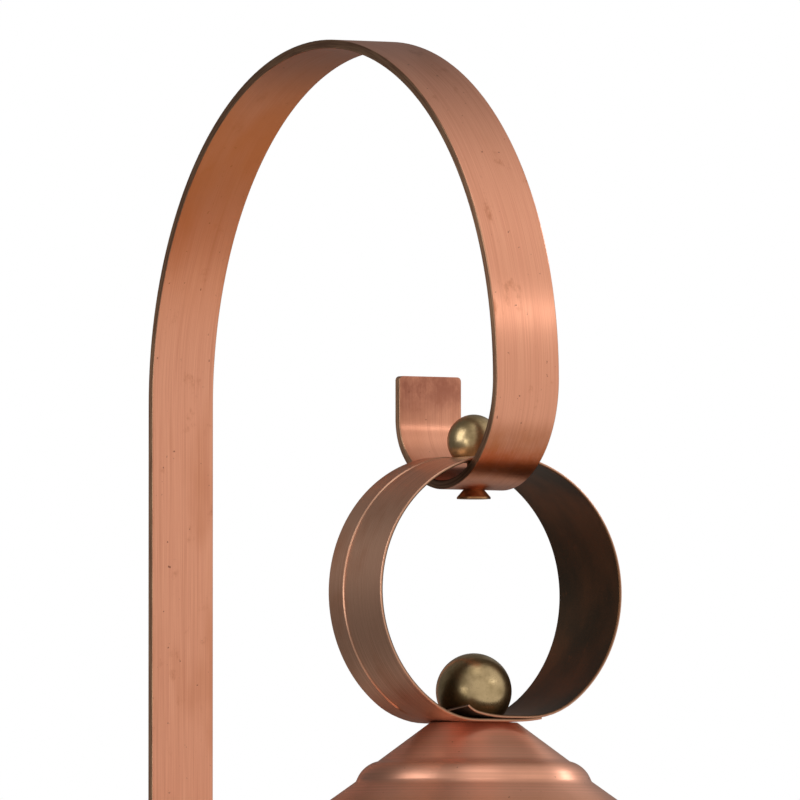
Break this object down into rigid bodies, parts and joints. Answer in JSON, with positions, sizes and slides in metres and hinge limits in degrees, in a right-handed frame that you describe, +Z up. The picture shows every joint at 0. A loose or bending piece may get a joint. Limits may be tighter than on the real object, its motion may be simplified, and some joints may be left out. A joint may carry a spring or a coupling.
{
  "type": "wind spinner",
  "caption": "Wall-hung copper wind spinner: a bent flat-bar crook holds a strap ring, a rain cap and a bladed barrel rotor that turns on ball bearings.",
  "frame": {"origin": "middle of the two wall-screw holes, on the back face of the crook's leg, which lies against the wall", "axes": "+Z up along the leg, +Y into the wall, so the spinner hangs out along -Y; X across the bar, which is symmetric about x = 0 at the crook"},
  "size_m": [0.2306, 0.3283, 0.5619],
  "materials": {
    "brushed_copper": "flat copper bar, brushed lengthwise, dark oxide on its edges",
    "aged_copper": "brushed copper sheet, browned inside",
    "spun_copper": "spun copper sheet with circular tool marks",
    "blade_copper": "rolled copper sheet, brushed along the blade",
    "antique_brass": "antiqued brass, mottled satin",
    "copper_fastener": "copper rivets and screws, slightly dull",
    "zinc_steel": "zinc plated steel",
    "bearing_steel": "ground bearing steel",
    "cage_nylon": "natural nylon",
    "turned_brass": "turned brass"
  },
  "bodies": {
    "crook": {"crook_strap": "brushed_copper", "hook_screw": "copper_fastener", "hook_ball_nut": "antique_brass", "hanging_ring": "aged_copper", "ring_ball_nut": "antique_brass", "axle_rod": "zinc_steel", "rain_cap": "spun_copper", "cap_washer": "zinc_steel", "cap_lock_nut": "zinc_steel", "upper_spacer": "zinc_steel", "upper_inner_race": "bearing_steel", "long_spacer": "zinc_steel", "lower_inner_race": "bearing_steel", "lower_washer": "zinc_steel", "lower_lock_nut": "zinc_steel"},
    "rotor": {"blade_01": "blade_copper", "blade_02": "blade_copper", "blade_03": "blade_copper", "blade_04": "blade_copper", "blade_05": "blade_copper", "blade_06": "blade_copper", "blade_07": "blade_copper", "blade_08": "blade_copper", "blade_09": "blade_copper", "blade_10": "blade_copper", "blade_11": "blade_copper", "blade_12": "blade_copper", "bottom_pan": "spun_copper", "finial_ball": "antique_brass", "finial_screw": "copper_fastener", "floor_blade_rivets": "copper_fastener", "lower_circlip": "zinc_steel", "lower_hub": "turned_brass", "lower_hub_rivets": "copper_fastener", "lower_outer_race": "bearing_steel", "pan_screws": "copper_fastener", "rotor_floor_plate": "spun_copper", "rotor_top_plate": "spun_copper", "top_blade_rivets": "copper_fastener", "upper_circlip": "zinc_steel", "upper_hub": "turned_brass", "upper_hub_rivets": "copper_fastener", "upper_outer_race": "bearing_steel"},
    "upper_cage": {"upper_bearing_cage": "cage_nylon", "upper_bearing_balls": "bearing_steel"},
    "lower_cage": {"lower_bearing_cage": "cage_nylon", "lower_bearing_balls": "bearing_steel"}
  },
  "joints": [
    {"name": "rotor_spin", "type": "hinge", "parent": "crook", "child": "rotor", "pos_m": [0, -0.213, -0.00765], "axis": [0, 0, 1], "continuous": true},
    {"name": "upper_cage_spin", "type": "hinge", "parent": "crook", "child": "upper_cage", "pos_m": [0, -0.213, 0.11035], "axis": [0, 0, 1], "continuous": true},
    {"name": "lower_cage_spin", "type": "hinge", "parent": "crook", "child": "lower_cage", "pos_m": [0, -0.213, -0.11465], "axis": [0, 0, 1], "continuous": true}
  ],
  "couplings": [
    {"joint": "upper_cage_spin", "follows": "rotor_spin", "ratio": 0.6281},
    {"joint": "lower_cage_spin", "follows": "rotor_spin", "ratio": 0.6281}
  ]
}
